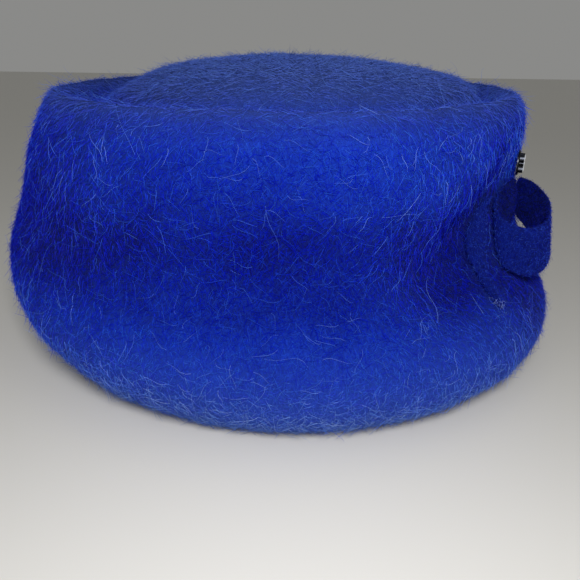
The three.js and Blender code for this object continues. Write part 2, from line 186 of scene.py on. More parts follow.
@dataclass(frozen=True)
class FeltFinish:
    """Dense dyed wool felt: cloudy colour, crossing matted fibre streaks, a soft sheen, painted shading and
    painted sheen.
    """

    name: str
    deep: str
    light: str
    cloud_mm: float = 24.0
    fibre_wide_mm: float = 0.5
    fibre_long_mm: float = 3.2
    fibre_levels: tuple[float, float] = (0.46, 0.8)
    colour_levels: tuple[float, float] = (0.2, 0.75)
    relief_mm: float = 0.5
    relief_strength: float = 0.8
    tone_share: float = 0.52
    roughness: float = 0.95
    specular: float = 0.1
    sheen: float = 0.12
    sheen_roughness: float = 0.45
    sheen_tint: str = "5B7CFF"
    # Painted sheen: pale grey-blue mixed in for grazing light and light from the floor
    painted_sheen_colour: str = "506C96"
    painted_sheen_share: float = 0.45
    turns_deg: tuple[tuple[float, float, float], ...] = ((24, 16, 0), (-34, 28, 10), (8, -44, 35))

    def streaks(self, tree: bpy.types.NodeTree, place: bpy.types.NodeSocket) -> bpy.types.NodeSocket:
        """Adds fibres that lie in several directions over each other.

        Args:
            tree: Material tree.
            place: Coordinates in metres.

        Returns:
            Height of the top fibre, from nought to one.
        """
        top = None
        thin, long = 1 / (self.fibre_wide_mm * MM), 1 / (self.fibre_long_mm * MM)
        for turn in self.turns_deg:
            turned = add_node(
                tree, "ShaderNodeMapping", {"vector_type": "POINT"},
                {"Rotation": [math.radians(angle) for angle in turn]}, {"Vector": place},
            )
            squeezed = add_node(
                tree, "ShaderNodeVectorMath", {"operation": "MULTIPLY"}, {1: (thin, thin, long)},
                {0: turned.outputs[0]},
            )
            fibre = add_node(
                tree, "ShaderNodeTexNoise",
                values={"Scale": 1.0, "Detail": 1.5, "Roughness": 0.5, "Distortion": 0.7},
                links={"Vector": squeezed.outputs[0]},
            )
            if top is None:
                top = fibre.outputs["Fac"]
            else:
                top = add_node(tree, "ShaderNodeMath", {"operation": "MAXIMUM"},
                               links={0: top, 1: fibre.outputs["Fac"]}).outputs[0]
        low, high = self.fibre_levels
        spread = add_node(
            tree, "ShaderNodeMapRange", values={"From Min": low, "From Max": high}, links={"Value": top},
        )
        return spread.outputs[0]

    def material(self) -> bpy.types.Material:
        """Builds the felt's material."""
        material, shader = new_material(self.name, {
            "Roughness": self.roughness, "Sheen Weight": self.sheen, "Sheen Roughness": self.sheen_roughness,
            "Sheen Tint": linear(self.sheen_tint), "Specular IOR Level": self.specular,
        })
        tree = material.node_tree
        place = add_node(tree, "ShaderNodeTexCoord").outputs["Object"]
        # Uneven dye: broad darker and lighter clouds
        clouds = add_node(
            tree, "ShaderNodeTexNoise",
            values={"Scale": 1 / (self.cloud_mm * MM), "Detail": 4.0, "Roughness": 0.6},
            links={"Vector": place},
        )
        fibres = self.streaks(tree, place)
        # Painted shading from the skin, mixed into the felt's colour
        tone = add_node(tree, "ShaderNodeAttribute", {"attribute_name": "tone"}).outputs["Fac"]
        rest = (1 - self.tone_share) / 2
        level = add_node(tree, "ShaderNodeMath", {"operation": "MULTIPLY"}, {1: rest},
                         {0: clouds.outputs["Fac"]}).outputs[0]
        for source, share in ((fibres, rest), (tone, self.tone_share)):
            level = add_node(tree, "ShaderNodeMath", {"operation": "MULTIPLY_ADD"}, {1: share},
                             {0: source, 2: level}).outputs[0]
        ramp = add_node(tree, "ShaderNodeValToRGB", links={"Fac": level})
        stops = zip(ramp.color_ramp.elements, self.colour_levels, (self.deep, self.light))
        for element, position, colour in stops:
            element.position = position
            element.color = linear(colour)
        bump = add_node(
            tree, "ShaderNodeBump",
            values={"Strength": self.relief_strength, "Distance": self.relief_mm * MM},
            links={"Height": fibres},
        )
        # Painted sheen: weaker on the felt sheet than on the hair tips above it
        sheened_colour = with_painted_sheen(tree, ramp.outputs["Color"], self.painted_sheen_colour, self.painted_sheen_share)
        tree.links.new(sheened_colour, shader.inputs["Base Color"])
        tree.links.new(bump.outputs["Normal"], shader.inputs["Normal"])
        return material


@dataclass(frozen=True)
class FibreFinish:
    """Single dyed wool hairs: each a little darker or paler than the next, a dull gloss, painted shading and
    painted sheen.
    """

    name: str
    deep: str
    middle: str
    light: str
    pale: str
    # Painted sheen on the hair tips, the same pale grey-blue
    painted_sheen_colour: str = "506C96"
    middle_at: float = 0.5
    light_at: float = 0.76
    roughness: float = 0.6
    specular: float = 0.2

    def material(self) -> bpy.types.Material:
        """Builds the hairs' material."""
        material, shader = new_material(
            self.name, {"Roughness": self.roughness, "Specular IOR Level": self.specular},
        )
        tree = material.node_tree
        # Each hair's shade: its random draw mixed with the skin's painted shading
        shade = add_node(tree, "ShaderNodeAttribute", {"attribute_name": "shade"})
        ramp = add_node(tree, "ShaderNodeValToRGB", links={"Fac": shade.outputs["Fac"]})
        first, last = ramp.color_ramp.elements
        first.color = linear(self.deep)
        first.position = 0.0
        last.color = linear(self.pale)
        last.position = 1.0
        for place, colour in ((self.middle_at, self.middle), (self.light_at, self.light)):
            ramp.color_ramp.elements.new(place).color = linear(colour)
        # Painted sheen at full share where the skin asks for it
        sheened_colour = with_painted_sheen(tree, ramp.outputs["Color"], self.painted_sheen_colour, 1.0)
        tree.links.new(sheened_colour, shader.inputs["Base Color"])
        return material


@dataclass(frozen=True)
class MetalFinish:
    """Dark bright-plated metal, slightly worn."""

    name: str
    colour: str
    roughness: float
    wear_mm: float = 0.8
    smoothest: float = 0.6
    roughest: float = 1.5

    def material(self) -> bpy.types.Material:
        """Builds the metal's material."""
        material, shader = new_material(self.name, {"Base Color": linear(self.colour), "Metallic": 1.0})
        tree = material.node_tree
        place = add_node(tree, "ShaderNodeTexCoord")
        wear = add_node(
            tree, "ShaderNodeTexNoise", values={"Scale": 1 / (self.wear_mm * MM), "Detail": 3.0},
            links={"Vector": place.outputs["Object"]},
        )
        spread = add_node(
            tree, "ShaderNodeMapRange",
            values={"To Min": self.roughness * self.smoothest, "To Max": self.roughness * self.roughest},
            links={"Value": wear.outputs["Fac"]},
        )
        tree.links.new(spread.outputs[0], shader.inputs["Roughness"])
        return material


@dataclass(frozen=True)
class StoneFinish:
    """Clear cut glass with a silvered back, bright where a facet catches the light."""

    name: str
    colour: str
    roughness: float = 0.04
    foil: float = 0.5
    coat_roughness: float = 0.02

    def material(self) -> bpy.types.Material:
        """Builds the stones' material."""
        return new_material(self.name, {
            "Base Color": linear(self.colour), "Roughness": self.roughness, "Metallic": self.foil,
            "Coat Weight": 1.0, "Coat Roughness": self.coat_roughness,
        })[0]


# Matted wool under the nap: a dull, deep blue that shows between the hairs
HAT_FELT = FeltFinish("long_haired_wool_felt", deep="000250", light="143AB8")
# Pressed and shorn strip: even and dark, with a fine grain
STRIP_FELT = FeltFinish(
    "short_napped_felt_strip", deep="000120", light="0C2290", cloud_mm=4.0, fibre_wide_mm=0.45,
    fibre_long_mm=1.1, tone_share=0.3, sheen=0.06,
)
# Brushed nap: saturated blue, with some hairs that shine pale
HAT_HAIR = FibreFinish(
    "dyed_wool_hair", deep="00027C", middle="0218BC", light="2458C4", pale="90ACEC", specular=0.1,
)
# Coarse guard hairs take less dye, so they show as thin light lines
LONG_HAIR = FibreFinish(
    "long_pale_wool_hair", deep="1434BC", middle="3464D8", light="7898EC", pale="B8CCFA",
)
# Fuzz of the strip: barely paler than the felt below it
STRIP_HAIR = FibreFinish(
    "strip_fuzz", deep="000138", middle="02108A", light="2444B4", pale="88A4E8", specular=0.08,
)
# Cut end of the tail: frayed, and pale where the dye didn't reach
PALE_HAIR = FibreFinish("pale_cut_end", deep="5068C4", middle="6C84D4", light="8498E0", pale="B8C8F4")
# Plate and cups: nearly black, with a hard glint
PLATE = MetalFinish("dark_plated_metal", "303238", 0.3)
# Stones: white sparks on the dark plate
STONE = StoneFinish("foiled_cut_glass", "F2F6FF")


def soft_copy(
    node: str, name: str, levels: int, ripple_mm: float, ripple_wave_mm: float,
) -> bpy.types.Object:
    """Makes a smooth, slightly uneven skin over a faceted felt solid.

    Args:
        node: Solid that gives the shape.
        name: Name of the new piece.
        levels: Subdivision levels.
        ripple_mm: Height of the felt's unevenness.
        ripple_wave_mm: Width of the felt's unevenness.

    Returns:
        The new object, at the origin.
    """
    mesh = frame["nodes"][node].data.copy()
    form = bmesh.new()
    form.from_mesh(mesh)
    bmesh.ops.remove_doubles(form, verts=form.verts, dist=TINY)
    bmesh.ops.join_triangles(
        form, faces=form.faces, angle_face_threshold=math.radians(FLAT_DEG),
        angle_shape_threshold=math.radians(SQUARE_DEG),
    )
    form.to_mesh(mesh)
    form.free()
    rough = bpy.data.objects.new(name, mesh)
    bpy.context.scene.collection.objects.link(rough)
    smoother = rough.modifiers.new("round", "SUBSURF")
    smoother.levels = levels
    smoother.render_levels = levels
    dense = applied(rough)
    ripple(dense.data, ripple_mm * MM, ripple_wave_mm * MM)
    for polygon in dense.data.polygons:
        polygon.use_smooth = True
    return dense


def applied(obj: bpy.types.Object) -> bpy.types.Object:
    """Swaps an object's mesh for what its modifiers make of it, and removes them.

    Args:
        obj: Object with modifiers.

    Returns:
        The same object, plain.
    """
    bpy.context.view_layer.update()
    evaluated = obj.evaluated_get(bpy.context.evaluated_depsgraph_get())
    mesh = bpy.data.meshes.new_from_object(evaluated)
    obj.modifiers.clear()
    obj.data = mesh
    mesh.name = obj.name
    return obj


def ripple(mesh: bpy.types.Mesh, height: float, wave: float) -> None:
    """Moves a mesh's points a little along their normals.

    Args:
        mesh: Mesh to change.
        height: Largest move.
        wave: Distance from one swelling to the next.
    """
    points, normals = points_and_normals(mesh)
    amounts = uneven(points / wave, RIPPLE_FALL, RIPPLE_OCTAVES)
    points += normals * amounts[:, None] * height
    points[:, 2] = np.maximum(points[:, 2], 0.0)
    mesh.vertices.foreach_set("co", points.astype(np.float32).ravel())
    mesh.update()


def uneven(points: np.ndarray, fall: float, octaves: int) -> np.ndarray:
    """Gives a smooth random value at each point.

    Args:
        points: Places, in widths of the pattern.
        fall: How fast the finer octaves fade.
        octaves: Number of octaves.

    Returns:
        Values round nought.
    """
    return np.array([noise.fractal(Vector(point), fall, OCTAVE_STEP, octaves) for point in points])


def laid_flat(ways: np.ndarray, normals: np.ndarray) -> np.ndarray:
    """Turns directions into the surface that they lie on.

    Args:
        ways: Directions, one a point.
        normals: The surface's normals there.

    Returns:
        Directions one unit long.
    """
    flat = ways - normals * (ways * normals).sum(1)[:, None]
    return flat / np.maximum(np.linalg.norm(flat, axis=1), TINY)[:, None]


def dye(piece: bpy.types.Object, material: bpy.types.Material) -> None:
    """Gives a piece one material in place of those that it has."""
    piece.data.materials.clear()
    piece.data.materials.append(material)


def set_attribute(mesh: bpy.types.Mesh, name: str, kind: str, values: np.ndarray) -> None:
    """Stores values on a mesh's points.

    Args:
        mesh: Mesh that gets them.
        name: Name of the attribute.
        kind: FLOAT or FLOAT_VECTOR.
        values: One row a point.
    """
    attribute = mesh.attributes.new(name, kind, "POINT")
    attribute.data.foreach_set("value" if kind == "FLOAT" else "vector", values.astype(np.float32).ravel())


def points_and_normals(mesh: bpy.types.Mesh) -> tuple[np.ndarray, np.ndarray]:
    """Reads a mesh's points and their normals as arrays."""
    count = len(mesh.vertices)
    points = np.empty(count * 3, np.float32)
    normals = np.empty(count * 3, np.float32)
    mesh.vertices.foreach_get("co", points)
    mesh.vertices.foreach_get("normal", normals)
    return points.reshape(-1, 3).astype(float), normals.reshape(-1, 3).astype(float)


@dataclass
class StrandKit:
    """Model strands, one unit thick and one unit long, that a coat of hair repeats."""

    sides: int = 3
    radius: float = 0.5
    taper: float = 0.55
    made: dict[Strand, bpy.types.Collection] = field(default_factory=dict)

    def bends(self, kind: Strand) -> list[tuple[list[tuple[float, float]], int]]:
        """Sideways paths of a kind of strand, in its own widths.

        Args:
            kind: Kind of strand.

        Returns:
            For each variant the bend and drift at its end, and its number of segments.
        """
        if kind is Strand.SPIKE:
            return [([(0.0, 0.0)], 1), ([(0.0, 0.0)], 1)]
        if kind is Strand.ARCHED:
            return [([(-9.0, 6.0)], 3), ([(-6.0, -8.0)], 3), ([(4.0, 10.0)], 3), ([(-10.0, -2.0)], 3)]
        if kind is Strand.WAVED:
            return [([(-14.0, 20.0), (3.0, -4.0)], 5), ([(-12.0, -26.0), (-3.0, 5.0)], 5),
                    ([(6.0, 32.0), (2.0, -4.0)], 5), ([(-10.0, 8.0), (4.0, 3.0)], 5)]
        return [([(-24.0, 50.0), (8.0, -10.0)], 7), ([(-18.0, -64.0), (-6.0, 12.0)], 7),
                ([(10.0, 36.0), (9.0, 8.0)], 7)]

    def strand(self, name: str, bend: list[tuple[float, float]], segments: int) -> bpy.types.Object:
        """Makes one tapered, closed strand along +Z.

        Args:
            name: Name of the object.
            bend: Bend of the strand's end and, where given, of its middle.
            segments: Number of segments along it.

        Returns:
            The strand.
        """
        wave = bend[1] if len(bend) > 1 else (0.0, 0.0)
        points: list[tuple[float, float, float]] = []
        for i in range(segments):
            share = i / segments
            radius = self.radius * (1 - self.taper * share)
            x = bend[0][0] * share**2 + wave[0] * math.sin(2 * math.pi * share)
            y = bend[0][1] * share**2 + wave[1] * math.sin(2 * math.pi * share)
            for k in range(self.sides):
                turn = 2 * math.pi * k / self.sides
                points.append((x + radius * math.cos(turn), y + radius * math.sin(turn), share))
        points.append((bend[0][0], bend[0][1], 1.0))
        faces: list[tuple[int, ...]] = [tuple(reversed(range(self.sides)))]
        for i in range(segments - 1):
            for k in range(self.sides):
                a, b = i * self.sides + k, i * self.sides + (k + 1) % self.sides
                faces.append((a, b, b + self.sides, a + self.sides))
        tip = len(points) - 1
        base = (segments - 1) * self.sides
        for k in range(self.sides):
            faces.append((base + k, base + (k + 1) % self.sides, tip))
        mesh = bpy.data.meshes.new(name)
        mesh.from_pydata(points, [], faces)
        return bpy.data.objects.new(name, mesh)

    def collection(self, kind: Strand) -> bpy.types.Collection:
        """Gives the collection that holds a kind's variants, making it once."""
        if kind not in self.made:
            group = bpy.data.collections.new(f"strands_{kind.value}")
            for number, (bend, segments) in enumerate(self.bends(kind)):
                group.objects.link(self.strand(f"strand_{kind.value}_{number}", bend, segments))
            self.made[kind] = group
        return self.made[kind]

    def clear(self) -> None:
        """Deletes the model strands once every coat is made."""
        for group in self.made.values():
            for obj in list(group.objects):
                bpy.data.objects.remove(obj)
            bpy.data.collections.remove(group)
        self.made.clear()


@dataclass(frozen=True)
class Coat:
    """One kind of hair over a skin."""

    name: str
    kind: Strand
    count_per_cm2: float
    length_mm: tuple[float, float]
    width_mm: float
    lift_deg: tuple[float, float]
    spread_deg: float
    seed: int
    mask: str = "nap"


@dataclass
class Groomer:
    """Geometry node tree that sows and combs hairs over a skin."""

    kit: StrandKit
    lock_mm: float = 11.0
    lock_turn_deg: float = 45.0
    own_shade: float = 0.52
    variants: int = 12
    floor_gap_mm: float = 0.1
    spent: tuple[str, ...] = ("comb", "nap", "tip", "tone")

    def tree(self) -> bpy.types.GeometryNodeTree:
        """Builds the combing tree with its named inputs.

        Returns:
            The tree.
        """
        tree = bpy.data.node_groups.new("combed_hair", "GeometryNodeTree")
        sockets = (
            ("Skin", "NodeSocketGeometry"), ("Strands", "NodeSocketCollection"), ("Mask", "NodeSocketString"),
            ("Density", "NodeSocketFloat"), ("Short", "NodeSocketFloat"), ("Tall", "NodeSocketFloat"),
            ("Width", "NodeSocketFloat"), ("Low Lift", "NodeSocketFloat"), ("High Lift", "NodeSocketFloat"),
            ("Spread", "NodeSocketFloat"), ("Seed", "NodeSocketInt"), ("Finish", "NodeSocketMaterial"),
        )
        for name, kind in sockets:
            tree.interface.new_socket(name=name, in_out="INPUT", socket_type=kind)
        tree.interface.new_socket(name="Hair", in_out="OUTPUT", socket_type="NodeSocketGeometry")
        given = add_node(tree, "NodeGroupInput").outputs
        mask = add_node(tree, "GeometryNodeInputNamedAttribute", {"data_type": "FLOAT"},
                        links={"Name": given["Mask"]})
        density = add_node(tree, "ShaderNodeMath", {"operation": "MULTIPLY"},
                           links={0: mask.outputs["Attribute"], 1: given["Density"]})
        sown = add_node(tree, "GeometryNodeDistributePointsOnFaces",
                        links={"Mesh": given["Skin"], "Density": density.outputs[0], "Seed": given["Seed"]})
        comb = add_node(
            tree, "GeometryNodeInputNamedAttribute", {"data_type": "FLOAT_VECTOR"}, {"Name": "comb"},
        )
        # Hairs of one lock turn together, and each turns a little by itself
        where = add_node(tree, "GeometryNodeInputPosition")
        locks = add_node(tree, "ShaderNodeTexNoise", values={"Scale": 1 / (self.lock_mm * MM), "Detail": 1.5},
                         links={"Vector": where.outputs[0]})
        lock_turn = add_node(
            tree, "ShaderNodeMapRange",
            values={"From Min": 0.25, "From Max": 0.75, "To Min": -math.radians(self.lock_turn_deg),
                    "To Max": math.radians(self.lock_turn_deg)},
            links={"Value": locks.outputs["Fac"]},
        )
        negative = add_node(tree, "ShaderNodeMath", {"operation": "MULTIPLY"}, {1: -1.0},
                            {0: given["Spread"]})
        turns = [
            self.chance(tree, given, negative.outputs[0], given["Spread"], draw)
            for draw in (Draw.TURN, Draw.DRIFT)
        ]
        total = add_node(tree, "ShaderNodeMath", {"operation": "ADD"}, links={0: turns[0], 1: turns[1]})
        turn = add_node(tree, "ShaderNodeMath", {"operation": "ADD"},
                        links={0: total.outputs[0], 1: lock_turn.outputs[0]})
        along = add_node(
            tree, "ShaderNodeVectorRotate", {"rotation_type": "AXIS_ANGLE"},
            links={"Vector": comb.outputs["Attribute"], "Axis": sown.outputs["Normal"],
                   "Angle": turn.outputs[0]},
        )
        lift = self.chance(tree, given, given["Low Lift"], given["High Lift"], Draw.LIFT)
        parts = []
        for operation, source in (("COSINE", along.outputs[0]), ("SINE", sown.outputs["Normal"])):
            share = add_node(tree, "ShaderNodeMath", {"operation": operation}, links={0: lift})
            parts.append(add_node(tree, "ShaderNodeVectorMath", {"operation": "SCALE"},
                                  links={0: source, "Scale": share.outputs[0]}).outputs[0])
        heading = add_node(
            tree, "ShaderNodeVectorMath", {"operation": "ADD"}, links={0: parts[0], 1: parts[1]},
        )
        rotation = add_node(
            tree, "FunctionNodeAxesToRotation", {"primary_axis": "Z", "secondary_axis": "X"},
            links={0: heading.outputs[0], 1: sown.outputs["Normal"]},
        )
        length = self.chance(tree, given, given["Short"], given["Tall"], Draw.LENGTH)
        size = add_node(tree, "ShaderNodeCombineXYZ",
                        links={0: given["Width"], 1: given["Width"], 2: length})
        strands = add_node(
            tree, "GeometryNodeCollectionInfo", values={"Separate Children": True, "Reset Children": True},
            links={"Collection": given["Strands"]},
        )
        grown = add_node(
            tree, "GeometryNodeInstanceOnPoints", values={"Pick Instance": True},
            links={"Points": sown.outputs["Points"], "Instance": strands.outputs[0],
                   "Rotation": rotation.outputs[0], "Scale": size.outputs[0]},
        )
        tree.links.new(self.pick(tree, given), grown.inputs["Instance Index"])
        one = add_node(tree, "FunctionNodeRandomValue", {"data_type": "FLOAT"})
        self.seed(tree, given, one, Draw.SHADE)
        # Painted shading: the skin's light and shade bands carry into each hair's colour
        tone = add_node(tree, "GeometryNodeInputNamedAttribute", {"data_type": "FLOAT"}, {"Name": "tone"})
        own = add_node(tree, "ShaderNodeMath", {"operation": "MULTIPLY"}, {1: self.own_shade},
                       {0: self.value_of(one)})
        shade = add_node(tree, "ShaderNodeMath", {"operation": "MULTIPLY_ADD"}, {1: 1 - self.own_shade},
                         {0: tone.outputs["Attribute"], 2: own.outputs[0]})
        shaded = add_node(
            tree, "GeometryNodeStoreNamedAttribute", {"data_type": "FLOAT", "domain": "INSTANCE"},
            {"Name": "shade"}, {"Geometry": grown.outputs[0], "Value": shade.outputs[0]},
        )
        real = add_node(tree, "GeometryNodeRealizeInstances", links={0: shaded.outputs[0]})
        dyed = add_node(tree, "GeometryNodeSetMaterial",
                        links={"Geometry": real.outputs[0], "Material": given["Finish"]})
        add_node(tree, "NodeGroupOutput", links={0: dyed.outputs[0]})
        return tree

    def value_of(self, node: bpy.types.Node) -> bpy.types.NodeSocket:
        """Finds the output of a random value node that is in use."""
        return next(socket for socket in node.outputs if socket.enabled)

    def seed(self, tree: bpy.types.NodeTree, given: Any, node: bpy.types.Node, draw: Draw) -> None:
        """Feeds the coat's seed, moved for this draw, to a random value node.

        Args:
            tree: Tree that holds the node.
            given: Outputs of the tree's input node.
            node: The random value node.
            draw: Which draw it makes.
        """
        moved = add_node(
            tree, "ShaderNodeMath", {"operation": "ADD"}, {1: float(draw.value)}, {0: given["Seed"]},
        )
        tree.links.new(moved.outputs[0], node.inputs["Seed"])

    def chance(
        self, tree: bpy.types.NodeTree, given: Any, low: bpy.types.NodeSocket, high: bpy.types.NodeSocket,
        draw: Draw,
    ) -> bpy.types.NodeSocket:
        """Adds a random number between two sockets.

        Args:
            tree: Tree that it goes into.
            given: Outputs of the tree's input node.
            low: Least value.
            high: Greatest value.
            draw: Which draw it makes.

        Returns:
            The number's socket.
        """
        node = add_node(tree, "FunctionNodeRandomValue", {"data_type": "FLOAT"})
        ends = [socket for socket in node.inputs if socket.enabled and socket.name in ("Min", "Max")]
        tree.links.new(low, ends[0])
        tree.links.new(high, ends[1])
        self.seed(tree, given, node, draw)
        return self.value_of(node)

    def pick(self, tree: bpy.types.NodeTree, given: Any) -> bpy.types.NodeSocket:
        """Adds a random whole number that picks a variant.

        Args:
            tree: Tree that it goes into.
            given: Outputs of the tree's input node.

        Returns:
            The number's socket.
        """
        node = add_node(tree, "FunctionNodeRandomValue", {"data_type": "INT"})
        ends = [socket for socket in node.inputs if socket.enabled and socket.name in ("Min", "Max")]
        ends[0].default_value = 0
        ends[1].default_value = self.variants - 1
        self.seed(tree, given, node, Draw.VARIANT)
        return self.value_of(node)

    def grow(
        self, tree: bpy.types.GeometryNodeTree, skin: bpy.types.Object, coat: Coat,
        finish: bpy.types.Material,
    ) -> bpy.types.Object:
        """Grows one coat of hair over a skin.

        Args:
            tree: The combing tree.
            skin: Skin with its mask and comb attributes.
            coat: Kind, length and number of the hairs.
            finish: Material of the hairs.

        Returns:
            The coat, as a plain mesh object.
        """
        hair = bpy.data.objects.new(coat.name, skin.data.copy())
        bpy.context.scene.collection.objects.link(hair)
        modifier = hair.modifiers.new("hair", "NODES")
        modifier.node_group = tree
        given = {
            "Strands": self.kit.collection(coat.kind), "Mask": coat.mask,
            "Density": coat.count_per_cm2 * PER_CM2, "Short": coat.length_mm[0] * MM,
            "Tall": coat.length_mm[1] * MM, "Width": coat.width_mm * MM,
            "Low Lift": math.radians(coat.lift_deg[0]), "High Lift": math.radians(coat.lift_deg[1]),
            "Spread": math.radians(coat.spread_deg), "Seed": coat.seed, "Finish": finish,
        }
        for socket in tree.interface.items_tree:
            if socket.item_type == "SOCKET" and socket.in_out == "INPUT" and socket.name in given:
                modifier[socket.identifier] = given[socket.name]
        applied(hair)
        for name in self.spent:
            if name in hair.data.attributes:
                hair.data.attributes.remove(hair.data.attributes[name])
        self.keep_above_floor(hair.data)
        LOG.info("%s: %d faces", coat.name, len(hair.data.polygons))
        return hair

    def keep_above_floor(self, mesh: bpy.types.Mesh) -> None:
        """Lifts hair points that would pass through the surface below the hat."""
        points = np.empty(len(mesh.vertices) * 3, np.float32)
        mesh.vertices.foreach_get("co", points)
        heights = points.reshape(-1, 3)[:, 2]
        np.maximum(heights, self.floor_gap_mm * MM, out=heights)
        mesh.vertices.foreach_set("co", points)
        mesh.update()


@dataclass(frozen=True)
class ShadePatch:
    """Patch of painted shade on the nap, darkest at its middle: degrees, millimetres and share."""

    azimuth: float
    high: float
    wide: float
    tall: float
    depth: float


@dataclass
class HatBody:
    """The blocked felt with its nap and stray hairs."""

    groomer: Groomer
    levels: int = 2
    ripple_mm: float = 0.5
    ripple_wave_mm: float = 30.0
    floor_bare_mm: float = 2.5
    hem_across_mm: float = 97.0
    hem_high_mm: float = 21.0
    pressed_mm: float = 2.6
    low_mm: float = 50.0
    under_facing: float = -0.5
    top_facing: float = 0.8
    comb_out: float = 0.35
    cloud_mm: float = 32.0
    cloud_shift_mm: float = 6.0
    cloud_share: float = 0.1
    # Painted shading by height in mm: light on the upper wall and the base, shade in the waist and on the
    # dome
    tone_at: tuple[tuple[float, float], ...] = (
        (0.0, 1.0), (10.0, 0.92), (22.0, 0.72), (42.0, 0.5), (51.0, 0.25), (72.0, 0.2), (86.0, 0.42),
        (104.0, 0.54), (111.0, 0.36), (116.0, 0.16), (128.0, 0.12),
    )
    # Painted sheen by height in mm: light from the floor at the base, grazing light on the rim and the dome
    haze_at: tuple[tuple[float, float], ...] = (
        (0.0, 0.6), (14.0, 0.42), (30.0, 0.16), (44.0, 0.0), (102.0, 0.0), (109.0, 0.12), (115.0, 0.4),
        (122.0, 0.52), (128.0, 0.56),
    )
    # Painted shade: along the pinch dent and the gap by the bow, under the loop, and on the dim left of the
    # wall
    painted_shade_patches: tuple[ShadePatch, ...] = (
        ShadePatch(-53, 56, 8, 15, 0.5), ShadePatch(-47, 72, 6, 12, 0.5), ShadePatch(-40, 90, 5, 12, 0.45),
        ShadePatch(-35, 60, 6, 18, 0.8), ShadePatch(-26, 30, 12, 18, 0.6), ShadePatch(-6, 34, 16, 22, 0.6),
        ShadePatch(-142, 68, 24, 14, 0.3), ShadePatch(-140, 96, 26, 22, 0.25), ShadePatch(-172, 50, 20, 30, 0.3),
    )
    coats: tuple[Coat, ...] = (
        Coat("nap_under", Strand.SPIKE, 36.5, (1.8, 4.2), 0.22, (5, 20), 60, 101),
        Coat("nap_middle", Strand.SPIKE, 36.5, (2.4, 5.2), 0.19, (6, 24), 75, 202),
        Coat("nap_top", Strand.ARCHED, 9.0, (4.0, 8.0), 0.15, (6, 36), 85, 303),
        Coat("hair_waved", Strand.WAVED, 4.6, (5.0, 10.0), 0.1, (4, 26), 100, 404),
        Coat("hair_stray", Strand.LONG, 0.22, (11.0, 18.0), 0.09, (3, 12), 120, 505),
    )

    def build(self, strips: list[bpy.types.Object]) -> bpy.types.Object:
        """Makes the felt skin and stores where hair grows and which way it lies.

        Args:
            strips: Trim that lies over the felt, where the hair is pressed down.

        Returns:
            The skin.
        """
        skin = soft_copy("hat_body", "felt_skin", self.levels, self.ripple_mm, self.ripple_wave_mm)
        points, normals = points_and_normals(skin.data)
        around = np.hypot(points[:, 0], points[:, 1])
        outward = points * [1, 1, 0] / np.maximum(around, TINY)[:, None]
        facing = (normals * outward).sum(1)
        low = points[:, 2] < self.low_mm * MM
        below = (facing > 0) | (normals[:, 2] < self.under_facing)
        outer = np.where(low, below, self.top_facing * facing + normals[:, 2] > 0)
        hem = (around < self.hem_across_mm * MM) & (points[:, 2] < self.hem_high_mm * MM)
        outer &= ~hem & (points[:, 2] > self.floor_bare_mm * MM)
        outer &= self.gap_to(strips, points) > self.pressed_mm * MM
        set_attribute(skin.data, "nap", "FLOAT", outer.astype(float))
        # Painted shading and painted sheen, stored for the felt and hair materials
        set_attribute(skin.data, "tone", "FLOAT", self.tone(points))
        heights, sheen_values = zip(*self.haze_at)
        set_attribute(skin.data, "haze", "FLOAT", np.interp(points[:, 2] / MM, heights, sheen_values))
        # Down the wall, and outward over the dome
        comb = outward * self.comb_out - np.array([0.0, 0.0, 1.0])
        set_attribute(skin.data, "comb", "FLOAT_VECTOR", laid_flat(comb, normals))
        return skin

    def gap_to(self, strips: list[bpy.types.Object], points: np.ndarray) -> np.ndarray:
        """Measures how far points are from the trim.

        Args:
            strips: Trim pieces.
            points: Places, in metres.

        Returns:
            A distance a point.
        """
        places = [vertex.co for strip in strips for vertex in strip.data.vertices]
        tree = KDTree(len(places))
        for number, place in enumerate(places):
            tree.insert(place, number)
        tree.balance()
        return np.array([tree.find(Vector(point))[2] for point in points])

    def tone(self, points: np.ndarray) -> np.ndarray:
        """Gives the nap's painted shading: pale on the upper wall and the base, dark in the waist and the
        patches.

        Args:
            points: Places on the skin, in metres.

        Returns:
            Nought for the darkest painted shade and one for the palest painted light, a value a point.
        """
        heights, shading_values = zip(*self.tone_at)
        high = points[:, 2] / MM
        cloud = uneven(points / (self.cloud_mm * MM), CLOUD_FALL, CLOUD_OCTAVES)
        level = np.interp(high + self.cloud_shift_mm * cloud, heights, shading_values) + self.cloud_share * cloud
        azimuth = np.degrees(np.arctan2(points[:, 1], points[:, 0]))
        for patch in self.painted_shade_patches:
            aside = (azimuth - patch.azimuth) / patch.wide
            above = (high - patch.high) / patch.tall
            level -= patch.depth * np.exp(-(aside**2 + above**2))
        return np.clip(level, 0, 1)

    def dress(self, skin: bpy.types.Object, tree: bpy.types.GeometryNodeTree) -> list[bpy.types.Object]:
        """Dyes the felt and grows its coats.

        Args:
            skin: The felt skin.
            tree: The combing tree.

        Returns:
            The coats.
        """
        dye(skin, HAT_FELT.material())
        short, long = HAT_HAIR.material(), LONG_HAIR.material()
        hairs = {Strand.SPIKE: short, Strand.ARCHED: short, Strand.WAVED: long, Strand.LONG: long}
        return [self.groomer.grow(tree, skin, coat, hairs[coat.kind]) for coat in self.coats]


